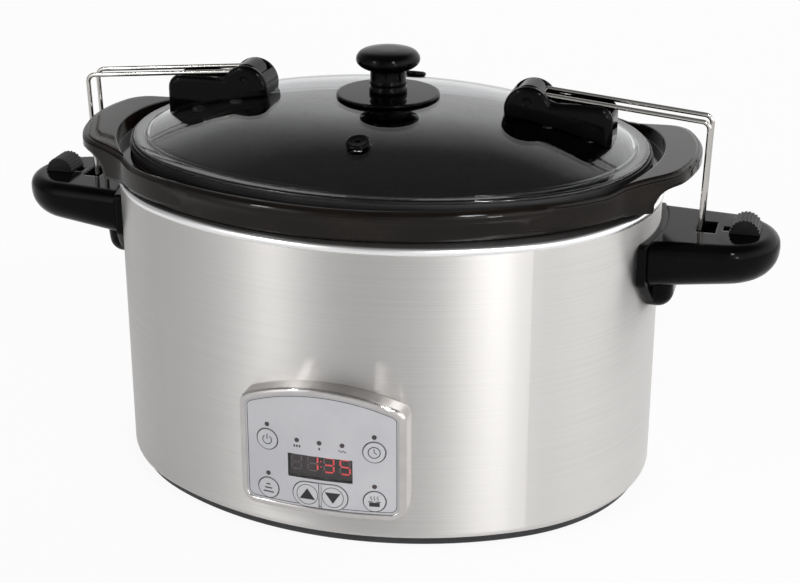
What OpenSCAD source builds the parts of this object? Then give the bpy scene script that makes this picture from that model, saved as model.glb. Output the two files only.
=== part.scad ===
// Oval slow cooker with a glass lid, two lid-lock bails and a digital control panel.
// +X is the right-hand handle, -Y is the panel side, +Z is up, origin on the table under the centre.

/* [Housing] */
// Length of the oval housing between the handles
housing_l = 355; // [340:1:370]
// Width of the oval housing, front to back
housing_w = 281.4; // [277:0.2:287]
// Height of the rolled top rim above the table
housing_top = 200; // [196:1:206]
// Thickness of the brushed steel wall
wall_t = 1.2; // [0.8:0.1:1.6]
// Height at which the steel wall starts, above the black base
wall_z = 7.2; // [6.5:0.1:9]
// Radius of the curl at the foot of the wall
foot_curl_r = 5; // [4:0.5:6]
// Thickness of the rolled bead of the top rim
bead_d = 5.6; // [5:0.1:6.4]
// How far the black base stands back from the wall
base_inset = 5.5; // [5:0.5:6.5]

/* [Crock] */
// Height of the crock's rim above the table
rim_z = 219.5; // [216:0.5:222]
// Half length of the mouth of the crock
mouth_a = 177.5; // [176:0.5:178]
// Half width of the mouth of the crock
mouth_b = 131; // [130:0.5:132]
// Reach of the carrying ears from the centre
ear_reach = 200.5; // [197:0.5:201]
// Height of the crest of the ears above the rim
ear_rise = 7.5; // [5:0.5:8]
// Thickness of the stoneware wall
crock_t = 8; // [6:0.5:9]

/* [Lid] */
// Height of the crown of the glass above the table
crown_z = 251; // [249:0.5:251.5]
// Fullness of the dome, 2 is a plain bowl and higher is flatter on top
dome_power = 2.7; // [2.4:0.1:2.9]
// Thickness of the glass
glass_t = 4; // [3:0.5:5]
// Width of the flat flange round the glass
flange_w = 8.5; // [7:0.5:10]
// Diameter of the lid knob's cap
knob_cap_d = 41; // [36:0.5:46]
// Diameter of the plate under the lid knob
knob_plate_d = 66.6; // [60:0.2:70]

/* [Bails] */
// Distance of the bail hinges from the centre
hinge_x = 93; // [90:0.5:96]
// Height of the bail hinges above the table
hinge_z = 256.4; // [256.2:0.1:256.8]
// Diameter of the hinge drum
drum_d = 20; // [19:0.2:20.4]
// Diameter of the bail wire
wire_d = 3; // [2.6:0.1:3.2]
// Distance between the two arms of a bail
wire_pitch = 15.6; // [15:0.1:16.4]
// Distance of the bail's outer corner from the centre
bail_x = 205.4; // [205:0.1:206.5]
// Height of the bail's outer corner above the table
bail_z = 250.7; // [249:0.1:252]

/* [Handles] */
// Reach of the handles from the centre
handle_reach = 253; // [250:0.5:256]
// Height of the top of the handles above the table
handle_top = 181; // [180:0.5:182]
// Thickness of the handles at the root
handle_h = 30.5; // [29:0.5:32]
// Width of the handles at the root
handle_root_w = 86; // [80:1:88]
// Width of the handles near their tips
handle_tip_w = 73; // [70:1:74]
// Travel of the latch between unlocked and locked
latch_travel = 11; // [10:0.5:11.5]

/* [Panel] */
// Width of the control panel's frame
panel_w = 105; // [102:0.5:108]
// Height of the bottom edge of the panel above the table
panel_z = 28; // [26:0.5:30]
// Height of the panel frame from its bottom edge to the top of the arch
panel_h = 84; // [82:0.5:86]
// How far the panel stands out from the housing wall
panel_out = 12.7; // [12:0.1:13.5]
// Diameter of the four round buttons
round_button_d = 13; // [12:0.1:13.6]
// Travel of the buttons
button_travel = 0.5; // [0.3:0.1:0.5]

/* [Hidden] */
$fn = 96;
eps = 0.01;
// Gap between bodies that part or move
clear = 0.3;
// Running fit on a radius
fit = 0.05;
steel = "#c9c6c2";
black = "#1b1b1d";
pot = "#221a17";

// ---- Ovals of four arcs ----
// The centres of the arcs lie on right triangles with sides of 28, 45 and 53 units, so every oval with the
// same difference between its half sizes a and b runs parallel to the others.
housing_a = housing_l / 2;
housing_b = housing_w / 2;
far = 4 * housing_a;

function oval_unit(a, b) = (a - b) / 20;
// Distance of the centres of the tight end arcs from the middle
function end_c(a, b) = 28 * oval_unit(a, b);
// Distance of the centres of the long side arcs from the middle
function side_c(a, b) = 45 * oval_unit(a, b);
function end_r(a, b) = a - end_c(a, b);
function side_r(a, b) = b + side_c(a, b);
// Half of the angle that each end arc spans
end_half = atan2(45, 28);

// Points of an arc, without its last one
function arc_points(cx, cy, r, from, to, n) =
    [for (i = [0 : n - 1]) let (t = from + (to - from) * i / n) [cx + r * cos(t), cy + r * sin(t)]];
// Points round an oval, n to each of its four arcs
function oval_points(a, b, n) =
    let (c = end_c(a, b), d = side_c(a, b), r = end_r(a, b), big = side_r(a, b))
    concat(
        arc_points(c, 0, r, -end_half, end_half, n),
        arc_points(0, -d, big, end_half, 180 - end_half, n),
        arc_points(-c, 0, r, 180 - end_half, 180 + end_half, n),
        arc_points(0, d, big, 180 + end_half, 360 - end_half, n)
    );

// Sweeps a profile round an oval; the profile's x runs outward from the oval, its y is the height
module oval_sweep(a, b) {
    c = end_c(a, b);
    corner = [c + 28 * far / 53, 45 * far / 53];
    for (turn = [0, 180]) rotate(turn) {
        intersection() {
            translate([c, 0, 0]) rotate_extrude() translate([end_r(a, b), 0]) children();
            linear_extrude(far) polygon([[c, 0], [corner[0], -corner[1]], corner]);
        }
        intersection() {
            translate([0, -side_c(a, b), 0]) rotate_extrude() translate([side_r(a, b), 0]) children();
            linear_extrude(far) polygon([[-c, 0], [c, 0], corner, [-corner[0], corner[1]]]);
        }
    }
}

// The same sweep, with the profile's x measured from the outside of the housing wall
module housing_sweep() {
    oval_sweep(housing_a, housing_b) children();
}

// Flat oval with half sizes a and b
module oval(a, b) {
    c = end_c(a, b);
    tangent_x = c + 28 * end_r(a, b) / 53;
    for (s = [-1, 1]) translate([s * c, 0]) circle(end_r(a, b));
    intersection() {
        translate([0, side_c(a, b)]) circle(side_r(a, b));
        translate([0, -side_c(a, b)]) circle(side_r(a, b));
        square([2 * tangent_x, 2 * b], center = true);
    }
}

// Flat oval that follows the housing wall at a distance, outward when positive
module housing_oval(out) {
    oval(housing_a + out, housing_b + out);
}

module rounded_box(size, r) {
    linear_extrude(size[2]) translate([r - size[0] / 2, r - size[1] / 2]) {
        square([size[0] - 2 * r, size[1] - 2 * r]);
        for (x = [0, size[0] - 2 * r], y = [0, size[1] - 2 * r]) translate([x, y]) circle(r, $fn = 24);
        translate([-r, 0]) square([size[0], size[1] - 2 * r]);
        translate([0, -r]) square([size[0] - 2 * r, size[1]]);
    }
}

// Cylinder along Y, centred on the plane y = 0
module y_cylinder(d, l) {
    rotate([90, 0, 0]) cylinder(d = d, h = l, center = true);
}

module mirrored(side) {
    if (side < 0) mirror([1, 0, 0]) children();
    else children();
}

// ---- Housing ----
liner_gap = 11;
liner_t = 1.2;
liner_floor = 24;
rim_web_in = 10.5;
rim_web_t = 1.2;
bead_z = housing_top - bead_d / 2;
bead_out = 1.2;
bead_x = bead_out - bead_d / 2;
wall_top = bead_z - 0.7;
lip_in = 4;

gland_z = 22;
gland_d = 14;
window_w = 84;
window_h = 56;
window_z = 36;

handle_screw_y = 22;
handle_screw_z = 166;
handle_screw_d = 4;

end_x = end_c(housing_a, housing_b);
housing_end_r = end_r(housing_a, housing_b);
side_big = side_r(housing_a, housing_b);
front_c = side_c(housing_a, housing_b);

module wall_profile() {
    translate([-wall_t, wall_z + foot_curl_r]) square([wall_t, wall_top - wall_z - foot_curl_r]);
    translate([-foot_curl_r, wall_z + foot_curl_r]) intersection() {
        difference() {
            circle(foot_curl_r);
            circle(foot_curl_r - wall_t);
        }
        translate([0, -foot_curl_r]) square(foot_curl_r);
    }
    translate([-foot_curl_r - lip_in, wall_z]) square([lip_in, wall_t]);
}

module handle_screw_holes(d) {
    for (y = [-handle_screw_y, handle_screw_y])
        translate([end_x, y, handle_screw_z]) rotate([0, 90, 0]) cylinder(d = d, h = housing_a);
}

module housing_shell() {
    color(steel) difference() {
        housing_sweep() wall_profile();
        // Window behind the control panel
        translate([-window_w / 2, -housing_b - panel_out, window_z])
            cube([window_w, 2 * panel_out, window_h]);
        for (side = [-1, 1]) mirrored(side) handle_screw_holes(handle_screw_d + 2 * clear);
        translate([0, housing_b, gland_z]) y_cylinder(gland_d + 2 * fit, 2 * liner_gap);
    }
}

module top_rim() {
    color("#e6e6e6") housing_sweep() difference() {
        union() {
            translate([bead_x, bead_z]) circle(d = bead_d, $fn = 48);
            translate([-rim_web_in, housing_top - rim_web_t]) square([rim_web_in + bead_x, rim_web_t]);
        }
        // Groove that the wall seats in
        translate([-wall_t, bead_z - bead_d]) square([wall_t, wall_top - bead_z + bead_d]);
    }
}

liner_flange_in = bead_d - bead_out + clear;
sensor_hole_d = 22;
post_x = 96;
post_y = 62;
post_d = 11;
base_floor = 5;
screw_d = 3.6;

module post_places() {
    for (x = [-post_x, post_x], y = [-post_y, post_y]) translate([x, y, 0]) children();
}

module heating_liner() {
    color("#b9bbbd") {
        housing_sweep() {
            translate([-liner_gap - liner_t, liner_floor])
                square([liner_t, housing_top - rim_web_t - liner_floor]);
            translate([-liner_gap, housing_top - rim_web_t - liner_t])
                square([liner_gap - liner_flange_in, liner_t]);
        }
        translate([0, 0, liner_floor]) linear_extrude(liner_t) difference() {
            housing_oval(-liner_gap - liner_t / 2);
            circle(d = sensor_hole_d);
        }
    }
}

band_t = 1.6;
band_z = 40;
band_h = 62;
band_ribs = 5;
band_rib_h = 3;

module heater_band() {
    color("#8d8a84") housing_sweep() {
        translate([-liner_gap, band_z]) square([band_t, band_h]);
        // Pressed channels that hold the heating wire
        for (i = [0 : band_ribs - 1])
            translate([-liner_gap + band_t, band_z + (i + 0.5) * band_h / band_ribs - band_rib_h / 2])
                square([band_t, band_rib_h]);
    }
}

fuse_d = 5;
fuse_l = 22;
fuse_x = 60;
fuse_z = 118;

module thermal_fuse() {
    seat_r = side_big - liner_gap + fuse_d / 2 + fit;
    color("#d8c9a0") translate([0, -front_c, fuse_z]) rotate(-asin(fuse_x / seat_r))
        translate([0, seat_r, 0]) {
        rotate([0, 90, 0]) cylinder(d = fuse_d, h = fuse_l, center = true);
        for (s = [-1, 1]) translate([s * fuse_l / 2, 0, 0])
            rotate([0, 90, 0]) cylinder(d = fuse_d / 4, h = fuse_l, center = true);
    }
}

sensor_d = 18;
sensor_top = 26.4;
spring_d = 13;
spring_wire = 1.4;
spring_turns = 4;

module temp_sensor() {
    color("silver") translate([0, 0, sensor_top]) mirror([0, 0, 1]) difference() {
        union() {
            cylinder(d1 = sensor_d - 2, d2 = sensor_d, h = 1);
            translate([0, 0, 1]) cylinder(d = sensor_d, h = 7);
        }
        translate([0, 0, 2]) cylinder(d = sensor_d - 2, h = 7);
    }
}

module sensor_spring() {
    spring_h = sensor_top - 2 - base_floor;
    color("#9a9a9a") for (i = [0 : spring_turns - 1])
        translate([0, 0, base_floor + spring_wire / 2 + i * (spring_h - spring_wire) / (spring_turns - 1)])
            rotate_extrude($fn = 32) translate([spring_d / 2, 0]) circle(d = spring_wire, $fn = 16);
    color("#9a9a9a") for (turn = [0, 180]) rotate(turn) translate([spring_d / 2, 0, base_floor])
        cylinder(d = spring_wire * 0.8, h = spring_h, $fn = 16);
}

module liner_posts() {
    color("#a8a8a8") post_places() translate([0, 0, base_floor]) difference() {
        cylinder(d = post_d, h = liner_floor - base_floor);
        translate([0, 0, -eps]) cylinder(d = screw_d, h = liner_floor - base_floor - 2);
    }
}

// ---- Base ----
base_z = 1.5;
base_skin = 2.5;
base_floor_under = base_floor - base_skin;
base_wall = 3;
upstand_in = base_inset + lip_in + 2;
upstand_top = 18;
slot_l = 34;
slot_w = 4;
slot_pitch = 11;
slot_count = 5;
foot_d = 20;
foot_x = 122;
foot_y = 52;

module foot_places() {
    for (x = [-foot_x, foot_x], y = [-foot_y, foot_y]) translate([x, y, 0]) children();
}

module base_pan() {
    color("#26272a") difference() {
        union() {
            translate([0, 0, base_floor_under]) linear_extrude(base_skin)
                housing_oval(-base_inset - base_wall / 2);
            housing_sweep() {
                difference() {
                    translate([-base_inset - base_wall, base_z]) square([base_wall, wall_z - base_z]);
                    translate([-base_inset, base_z]) rotate(45) square(1.2, center = true);
                }
                translate([-upstand_in - base_wall / 2, base_floor])
                    square([base_wall / 2, upstand_top - base_floor]);
            }
        }
        // Cooling slots
        for (s = [-1, 1], i = [0 : slot_count - 1])
            translate([s * (slot_l + 8), (i - (slot_count - 1) / 2) * slot_pitch, 0])
                linear_extrude(2 * base_floor) {
                    square([slot_l - slot_w, slot_w], center = true);
                    for (e = [-1, 1]) translate([e * (slot_l - slot_w) / 2, 0])
                        circle(d = slot_w, $fn = 24);
                }
        post_places() cylinder(d = screw_d + 2 * fit, h = 2 * base_floor);
        translate([0, housing_b, gland_z]) y_cylinder(gland_d + 2 * clear, 4 * upstand_in);
    }
}

module base_screws() {
    color("silver") post_places() {
        translate([0, 0, base_floor_under - 1.6]) cylinder(d = 7.4, h = 1.6);
        translate([0, 0, base_floor_under]) cylinder(d = screw_d - 2 * fit, h = 14);
    }
}

module feet() {
    color("#2b2b2b") foot_places() rotate_extrude($fn = 48) polygon([
        [0, 0], [foot_d / 2 - 1.5, 0], [foot_d / 2, 1],
        [foot_d / 2, base_floor_under], [0, base_floor_under]
    ]);
}

board_t = 1.6;
board_z = 11;
power_board_x = 56;
power_board_l = 80;
power_board_w = 56;
pillar_d = 6;
pillar_in = 5;
part_h = 9;

// Board on four pillars, with a transformer, a relay and two capacitors
module power_board() {
    color("#2c6e49") translate([power_board_x, 0, 0]) {
        translate([-power_board_l / 2, -power_board_w / 2, board_z])
            cube([power_board_l, power_board_w, board_t]);
        for (x = [-1, 1], y = [-1, 1])
            translate([x * (power_board_l / 2 - pillar_in), y * (power_board_w / 2 - pillar_in), base_floor])
                cylinder(d = pillar_d, h = board_z - base_floor, $fn = 24);
    }
    translate([power_board_x, 0, board_z + board_t]) {
        color("#1d1d1f") translate([12, -16, 0]) cube([20, 15, part_h]);
        color("#d9b23c") translate([-24, -20, 0]) cube([16, 18, part_h]);
        color("#33415c") for (x = [-20, -6]) translate([x, 14, 0])
            cylinder(d = part_h, h = part_h, $fn = 32);
    }
}

gland_flange = 3;
gland_rings = 3;

// Strain relief with a ringed boot, as long as the panel stands out at the front
module cord_gland() {
    boot_l = panel_out - gland_flange;
    ring_pitch = boot_l / gland_rings;
    color(black) translate([0, housing_b, gland_z]) difference() {
        union() {
            translate([0, -2, 0]) y_cylinder(gland_d, 10);
            translate([0, gland_flange / 2, 0]) y_cylinder(gland_d + 5, gland_flange);
            translate([0, -4.5, 0]) y_cylinder(gland_d + 3, 3);
            translate([0, gland_flange, 0]) rotate([-90, 0, 0]) {
                cylinder(d1 = gland_d - 3, d2 = gland_d - 5, h = boot_l);
                for (i = [0 : gland_rings - 1]) translate([0, 0, i * ring_pitch])
                    cylinder(d1 = gland_d - 1 - i, d2 = gland_d - 1.6 - i, h = ring_pitch / 2);
            }
        }
        y_cylinder(gland_d / 2, 4 * panel_out);
    }
}

// ---- Control panel, bent round the front of the housing ----
frame_w = 4;
frame_corner = 9;
arch_r = 117;
face_t = 2.5;
face_sink = 0.8;
panel_r = side_big + panel_out;
face_r = panel_r - face_sink;
button_x = 33.8;
upper_button_z = 73.8;
lower_button_z = 40.6;
led_rise = 10;
led_d = 3;
mode_led_z = 76.6;
mode_led_pitch = 14.3;
display_w = 41;
display_h = 15.8;
display_z = 59.2;
arrow_x = 9;
arrow_r = 8.2;
arrow_z = 40.8;
divider = 1.2;
retainer_t = 1;
board_y = 142.8;

// Outline of the panel, standing in the XZ plane, shrunk by inset
module panel_outline(inset) {
    offset(delta = -inset) offset(r = frame_corner, $fn = 32) offset(delta = -frame_corner) intersection() {
        translate([-panel_w / 2, panel_z]) square([panel_w, panel_h]);
        translate([0, panel_z + panel_h - arch_r]) circle(arch_r, $fn = 120);
    }
}

// Everything in front of the housing between two radii round the centre of its front arc
module front_layer(inner_r, outer_r) {
    translate([0, front_c, 0]) difference() {
        cylinder(r = outer_r, h = housing_top, $fn = 180);
        translate([0, 0, -eps]) cylinder(r = inner_r, h = housing_top + 1, $fn = 180);
    }
}

// Stands a flat outline up in front of the housing, running back as far as the housing's middle
module standing(depth) {
    rotate([90, 0, 0]) linear_extrude(depth) children();
}

module panel_frame() {
    // Each layer steps in along the rounded front edge
    round_r = 1.6;
    color("#d4d4d8") for (step = [0 : 3]) {
        angle = 30 * step;
        intersection() {
            standing(2 * housing_b) difference() {
                panel_outline(round_r * (1 - cos(angle)) * 0.8);
                panel_outline(frame_w);
            }
            front_layer(side_big, panel_r - round_r * (1 - sin(angle)));
        }
    }
}

// Surface of the panel's face at a distance from the middle
function face_y(x) = front_c - sqrt(face_r * face_r - x * x);

module button_hole_places() {
    for (x = [-button_x, button_x], z = [upper_button_z, lower_button_z]) translate([x, z]) children();
}

module led_places() {
    for (i = [-1 : 1]) translate([i * mode_led_pitch, mode_led_z]) children();
    for (x = [-button_x, button_x], z = [upper_button_z, lower_button_z])
        translate([x, z + led_rise]) children();
}

// One half of the pair of arrow buttons, s is -1 for the left one
module arrow_outline(s, grow) {
    translate([s * arrow_x, arrow_z]) circle(arrow_r + grow, $fn = 48);
    translate([s * (divider / 2 + clear - grow + (arrow_x - divider / 2) / 2), arrow_z])
        square([arrow_x - divider / 2 - clear + grow, 2 * (arrow_r + grow)], center = true);
}

panel_screw_d = 2.9;
panel_screw_grip = 3;
panel_post_d = 5;

// Screws that hold the circuit board to the posts behind the face
module panel_screw_places() {
    for (s = [-1, 1], place = [[43, 57], [41, 89]]) translate([s * place[0], place[1]]) children();
}

module panel_face() {
    color("#c3c4cc") difference() {
        intersection() {
            union() {
                standing(2 * housing_b) panel_outline(frame_w);
                translate([0, -board_y, 0]) standing(panel_out) panel_screw_places()
                    circle(d = panel_post_d);
            }
            union() {
                front_layer(face_r - face_t, face_r);
                translate([0, -board_y, 0]) standing(panel_out) panel_screw_places()
                    circle(d = panel_post_d);
            }
            front_layer(side_big / 2, face_r);
        }
        standing(2 * housing_b) {
            button_hole_places() circle(d = round_button_d + 2 * clear, $fn = 48);
            led_places() circle(d = led_d, $fn = 24);
            for (s = [-1, 1]) arrow_outline(s, clear);
            translate([0, display_z]) square([display_w, display_h], center = true);
        }
        translate([0, -board_y, 0]) standing(panel_screw_grip) panel_screw_places()
            circle(d = panel_screw_d);
    }
}

module display_window() {
    color("#2a1a1e") intersection() {
        standing(2 * housing_b) translate([0, display_z]) square([display_w, display_h], center = true);
        front_layer(face_r - face_t, face_r - 0.4);
    }
}

digit_h = 9.6;
digit_w = 6;
digit_pitch = 10.2;
digit_rise = 1.8;
digit_relief = 0.3;
stroke = 1;
segment_gap = 0.2;
module_depth = 6.1;

// Upright eight of seven bars that stand a little apart
module digit_bars() {
    for (z = [-1 : 1]) translate([0, z * digit_h / 2])
        square([digit_w - stroke - segment_gap, stroke], center = true);
    for (x = [-1, 1], z = [-1, 1]) translate([x * digit_w / 2, z * digit_h / 4])
        square([stroke, digit_h / 2 - stroke - segment_gap], center = true);
}

module display_module() {
    color("#15090a") translate([0, -board_y, display_z]) standing(module_depth)
        square([display_w - 2, display_h - 2], center = true);
    color("#5a1416") translate([0, -board_y - module_depth, display_z + digit_rise]) standing(digit_relief)
        for (i = [0 : 3]) translate([(i - 1.5) * digit_pitch, 0]) digit_bars();
}

module indicator_leds() {
    color("#7d2a22") intersection() {
        standing(2 * housing_b) led_places() circle(d = led_d - 2 * fit, $fn = 24);
        translate([0, -board_y, 0]) mirror([0, 1, 0]) translate([-panel_w, 0, 0])
            cube([2 * panel_w, 40, housing_top]);
        front_layer(side_big / 2, face_r + 0.2);
    }
}

control_board_w = 92;
control_board_h = 60;

module control_board() {
    color("#2c6e49") translate([0, board_t - board_y, 0]) standing(board_t) difference() {
        translate([-control_board_w / 2, panel_z + 6]) square([control_board_w, control_board_h]);
        panel_screw_places() circle(d = panel_screw_d + 2 * fit, $fn = 32);
    }
}

switch_size = 6;
switch_front = 143.9;

module switch_places() {
    button_hole_places() children();
    for (s = [-1, 1]) translate([s * arrow_x, arrow_z]) children();
}

module tact_switches() {
    color("#3a3a3c") translate([0, -board_y, 0]) standing(switch_front - board_y - 0.4)
        switch_places() square(switch_size, center = true);
    color("#c9c9c9") translate([0, -board_y, 0]) standing(switch_front - board_y)
        switch_places() circle(d = switch_size / 2, $fn = 24);
}

module panel_screws() {
    head_t = 1.4;
    color("silver") {
        translate([0, board_t - board_y, 0]) standing(board_t + panel_screw_grip - clear)
            panel_screw_places() circle(d = panel_screw_d - 2 * fit, $fn = 32);
        translate([0, board_t + head_t - board_y, 0]) standing(head_t)
            panel_screw_places() circle(d = 2 * panel_screw_d, $fn = 32);
    }
}

button_back = switch_front + button_travel + clear;
button_proud = 0.5;
retainer_out = 1.2;

// Cap that follows the curve of the face, with a retaining lip behind the face
module button_cap() {
    color("#d0d1d8") intersection() {
        translate([0, -button_back, 0]) standing(2 * panel_out) children();
        front_layer(side_big / 2, face_r + button_proud);
    }
}

module round_button(x, z) {
    button_cap() translate([x, z]) circle(d = round_button_d);
    color("#d0d1d8") translate([x, -button_back, z]) standing(retainer_t)
        circle(d = round_button_d + 2 * retainer_out);
}

module arrow_button(s) {
    button_cap() arrow_outline(s, 0);
    color("#d0d1d8") translate([s * (arrow_x + divider), -button_back, arrow_z]) standing(retainer_t)
        circle(arrow_r, $fn = 48);
}

module start_stop_button() round_button(-button_x, upper_button_z);
module mode_button() round_button(-button_x, lower_button_z);
module delay_button() round_button(button_x, upper_button_z);
module timer_button() round_button(button_x, lower_button_z);
module up_button() arrow_button(-1);
module down_button() arrow_button(1);

// ---- Handles, drawn for the right-hand side ----
plate_t = 5;
plate_r = housing_end_r + plate_t;
tip_r = handle_tip_w / 2;
tip_x = handle_reach - tip_r;
edge_r = 8;
belly_r = 18;
root_x = 160;
belly_rise = 2;

leg_lean = 1.55;
bar_z = 171;
bar_x = bail_x - (bail_z - bar_z) * tan(leg_lean);
bail_slot_in = bar_x - wire_d / 2 - 0.6;
bail_slot_out = 213.2;
bail_slot_w = wire_pitch + wire_d + 1.8;
bail_slot_floor = bar_z - wire_d / 2 - 1;
bolt_z = 173.4;
bolt_h = 3.5;
bolt_w = 7;
bolt_tip = 214;
bolt_l = 26;
latch_x = 231;
latch_d = 19;
latch_l = 18;
stem_l = 5;
channel_end = bolt_tip + bolt_l + 2;

module handle_blank() {
    top_ball = handle_top - edge_r;
    bottom_ball = handle_top - handle_h + edge_r;
    hull() {
        for (s = [-1, 1], z = [bottom_ball, top_ball])
            translate([root_x, s * (handle_root_w / 2 - edge_r), z]) sphere(edge_r, $fn = 28);
        translate([tip_x, 0, top_ball]) rotate_extrude($fn = 40) translate([tip_r - edge_r, 0])
            circle(edge_r, $fn = 28);
        translate([tip_x, 0, handle_top - handle_h + belly_rise + belly_r]) rotate_extrude($fn = 40)
            translate([tip_r - belly_r, 0]) intersection() {
                circle(belly_r, $fn = 32);
                translate([0, -belly_r]) square(belly_r);
            }
    }
}

module handle() {
    color(black) difference() {
        handle_blank();
        // Root follows the wall bracket
        translate([end_x, 0, 0]) cylinder(r = plate_r, h = housing_top);
        // Slot that the bail drops into and swings out of
        translate([bail_slot_in, -bail_slot_w / 2, bail_slot_floor])
            cube([bail_slot_out - bail_slot_in, bail_slot_w, handle_h]);
        // Channel for the latch bolt
        translate([bail_slot_in, -bolt_w / 2 - clear, bolt_z - clear])
            cube([channel_end - bail_slot_in, bolt_w + 2 * clear, bolt_h + 2 * clear]);
        // Slot for the latch stem
        translate([latch_x - stem_l / 2 - latch_travel - clear, -bolt_w / 2 - clear, bolt_z])
            cube([stem_l + latch_travel + 2 * clear, bolt_w + 2 * clear, handle_h]);
        handle_screw_holes(handle_screw_d - 0.6);
    }
}

bracket_h = 47.5;
lobe_x = 193;
lobe_w = 56;
shield_w = 60;

module handle_bracket() {
    bracket_z = handle_top - 0.5 - bracket_h;
    under = handle_top - handle_h;
    color(black) difference() {
        union() {
            // Shield-shaped plate against the wall
            intersection() {
                translate([end_x, 0, 0]) difference() {
                    cylinder(r = plate_r, h = housing_top);
                    cylinder(r = housing_end_r, h = housing_top);
                }
                translate([end_x, 0, bracket_z]) rotate([90, 0, 90]) linear_extrude(housing_a) hull() {
                    for (s = [-1, 1]) {
                        translate([s * (handle_root_w / 2 - 3), bracket_h - 3]) circle(3, $fn = 24);
                        translate([s * (handle_root_w / 2 - 6), bracket_h / 2]) circle(6, $fn = 24);
                        translate([s * (shield_w / 2 - 14), 14]) circle(14, $fn = 32);
                    }
                }
            }
            // Rounded lobe under the handle
            difference() {
                hull() for (s = [-1, 1]) {
                    translate([lobe_x - 12, s * (lobe_w / 2 - 10), bracket_z + 10]) sphere(10, $fn = 28);
                    translate([lobe_x - 10, s * (lobe_w / 2 - 8), under])
                        cylinder(r = 8, h = eps, $fn = 28);
                    translate([root_x, s * (lobe_w / 2 - 4), under - 4]) cube([8, 8, 8], center = true);
                    translate([root_x, s * (lobe_w / 2 - 10), bracket_z + 10]) sphere(10, $fn = 28);
                }
                translate([end_x, 0, 0]) cylinder(r = housing_end_r, h = housing_top);
                translate([root_x, -lobe_w, under]) cube([lobe_w, 2 * lobe_w, handle_h]);
            }
        }
        handle_screw_holes(handle_screw_d + 2 * fit);
    }
}

module handle_screws() {
    head_r = 4;
    // The head stands clear of the curve of the wall
    head_x = end_x + sqrt(pow(housing_end_r - wall_t, 2) - pow(handle_screw_y + head_r, 2)) - fit;
    color("silver") for (y = [-handle_screw_y, handle_screw_y])
        translate([head_x, y, handle_screw_z]) rotate([0, 90, 0]) {
            translate([0, 0, -2.8]) cylinder(r = head_r, h = 2.8);
            cylinder(d = handle_screw_d - 0.6, h = 18);
        }
}

rib_count = 11;

module latch_knob() {
    color("#202022") translate([latch_x, 0, handle_top + clear]) {
        difference() {
            intersection() {
                y_cylinder(latch_d, latch_l);
                translate([-latch_d, -latch_l, 0]) cube([2 * latch_d, 2 * latch_l, latch_d]);
            }
            for (i = [1 : rib_count]) rotate([0, -180 * i / (rib_count + 1), 0])
                translate([latch_d / 2 + 0.2, 0, 0])
                y_cylinder(1.6, 2 * latch_l, $fn = 16);
        }
        translate([-stem_l / 2, -bolt_w / 2, bolt_z + bolt_h - handle_top - clear])
            cube([stem_l, bolt_w, handle_top + clear - bolt_z - bolt_h + 1]);
    }
}

module latch_bolt() {
    color("#9fa3a8") translate([bolt_tip, -bolt_w / 2, bolt_z]) difference() {
        cube([bolt_l, bolt_w, bolt_h]);
        // Lead-in at the tip
        translate([0, -eps, bolt_h]) rotate([0, 45, 0]) cube([2, bolt_w + 1, 2], center = false);
    }
}

module left_handle() mirrored(-1) handle();
module right_handle() mirrored(1) handle();
module left_handle_bracket() mirrored(-1) handle_bracket();
module right_handle_bracket() mirrored(1) handle_bracket();
module left_handle_screws() mirrored(-1) handle_screws();
module right_handle_screws() mirrored(1) handle_screws();
module left_latch_knob() mirrored(-1) latch_knob();
module right_latch_knob() mirrored(1) latch_knob();
module left_latch_bolt() mirrored(-1) latch_bolt();
module right_latch_bolt() mirrored(1) latch_bolt();

// ---- Crock ----
collar_in = 3.2;
face_in = 5.4;
roll_r = 4.6;
collar_z = housing_top + clear;
body_in = 17;
crock_floor = 27;
floor_curve = 26;
ledge_z = 214.5;
roll_blend = 20;
// The crock stands turned a little in the housing
crock_turn = atan2(237, 3116);
// Plan of an ear: arc of its end, its corners, and the hollow that blends it into the rim
ear_end_r = 110;
ear_corner_r = 30;
ear_corner_y = 30;
ear_fillet_r = 120;
ear_lip = 3.2;
// The hollow cuts this far into the circles that it joins, so that they cross cleanly
ear_bite = 0.03;
// Side view of an ear: arched top, and the hollow for the fingers
ear_arch_r = 215;
ear_crest_x = 205;
ear_crest_z = rim_z + ear_rise;
ear_foot_z = collar_z + 1.2;
ear_start = 100;
hollow_r = 13;
hollow_x = 187.5;
hollow_z = 203.5;

// Centre of the circle that touches two circles from outside, on the +Y side of the line between them
function touching(c1, r1, c2, r2, r) =
    let (
        d = norm(c2 - c1),
        u = (c2 - c1) / d,
        along = (pow(r1 + r, 2) - pow(r2 + r, 2) + d * d) / (2 * d),
        up = sqrt(pow(r1 + r, 2) - along * along)
    )
    c1 + along * u + up * [-u[1], u[0]];

collar_r = housing_end_r - collar_in;
ear_end_c = [ear_reach - ear_end_r, 0];
ear_half = asin(ear_corner_y / (ear_end_r - ear_corner_r));
ear_corner_c = ear_end_c + (ear_end_r - ear_corner_r) * [cos(ear_half), sin(ear_half)];
ear_fillet_c = touching([end_x, 0], collar_r, ear_corner_c, ear_corner_r, ear_fillet_r);

// Mirrors a point to the front
function front(p) = [p[0], -p[1]];

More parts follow.
